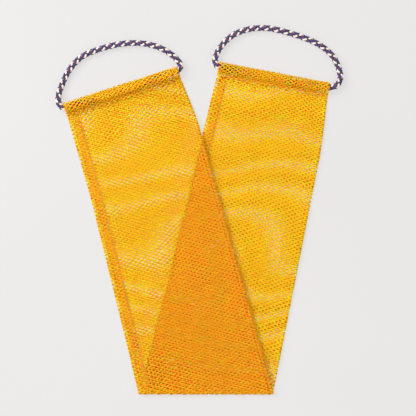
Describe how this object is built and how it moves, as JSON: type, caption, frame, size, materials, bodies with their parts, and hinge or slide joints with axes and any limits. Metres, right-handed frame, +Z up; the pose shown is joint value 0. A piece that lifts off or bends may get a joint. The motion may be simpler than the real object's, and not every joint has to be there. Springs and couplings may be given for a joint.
{
  "type": "back scrubber strap",
  "caption": "Long knitted net back scrubber strap, folded once, hemmed at both ends, with a braided cord hand loop in each hem. It unfolds flat and its loops swing.",
  "frame": {"origin": "centre of the folded strap's footprint, on the table, without the hand loops", "axes": "+Y from the fold towards the hems, +Z up from the table, +X to the right of the upper leg"},
  "size_m": [0.2663, 0.3412, 0.0102],
  "materials": {
    "net": "two walls of hexagonal knitted nylon net, translucent golden yellow, slightly glossy thread",
    "side_seam": "the same net, four layers sewn together, denser and deeper in colour",
    "hem": "the same net turned over into a casing, the cord showing dark through its holes",
    "thread": "yellow polyester sewing thread",
    "cord": "round braided cord in white and blue with thin maroon and dark brown yarns"
  },
  "bodies": {
    "lower_leg": {"fold_inner_wall": "net", "fold_outer_wall": "net", "lower_cord_tacks": "thread", "lower_cord_tail_left": "cord", "lower_cord_tail_right": "cord", "lower_hem_casing": "hem", "lower_hem_stitches": "thread", "lower_leg_top_wall": "net", "lower_leg_under_wall": "net", "lower_seam_stitches": "thread", "lower_side_seam": "side_seam"},
    "upper_leg": {"upper_cord_tacks": "thread", "upper_cord_tail_left": "cord", "upper_cord_tail_right": "cord", "upper_hem_casing": "hem", "upper_hem_stitches": "thread", "upper_leg_top_wall": "net", "upper_leg_under_wall": "net", "upper_seam_stitches": "thread", "upper_side_seam": "side_seam"},
    "lower_loop": {"lower_hand_loop": "cord"},
    "upper_loop": {"upper_hand_loop": "cord"}
  },
  "joints": [
    {"name": "unfold", "type": "hinge", "parent": "lower_leg", "child": "upper_leg", "pos_m": [0.0081, -0.15311, 0.0024], "axis": [1, 0, 0], "range_deg": [0, 178], "deforming": ["fold_outer_wall", "fold_inner_wall"]},
    {"name": "upper_loop_swing", "type": "hinge", "parent": "upper_leg", "child": "upper_loop", "pos_m": [-0.06973, 0.12813, 0.0049], "axis": [0.9511, 0.309, 0], "range_deg": [0, 165]},
    {"name": "lower_loop_swing", "type": "hinge", "parent": "lower_leg", "child": "lower_loop", "pos_m": [0.07089, 0.13941, 0.0049], "axis": [0.9826, -0.1857, 0], "range_deg": [0, 165]}
  ]
}
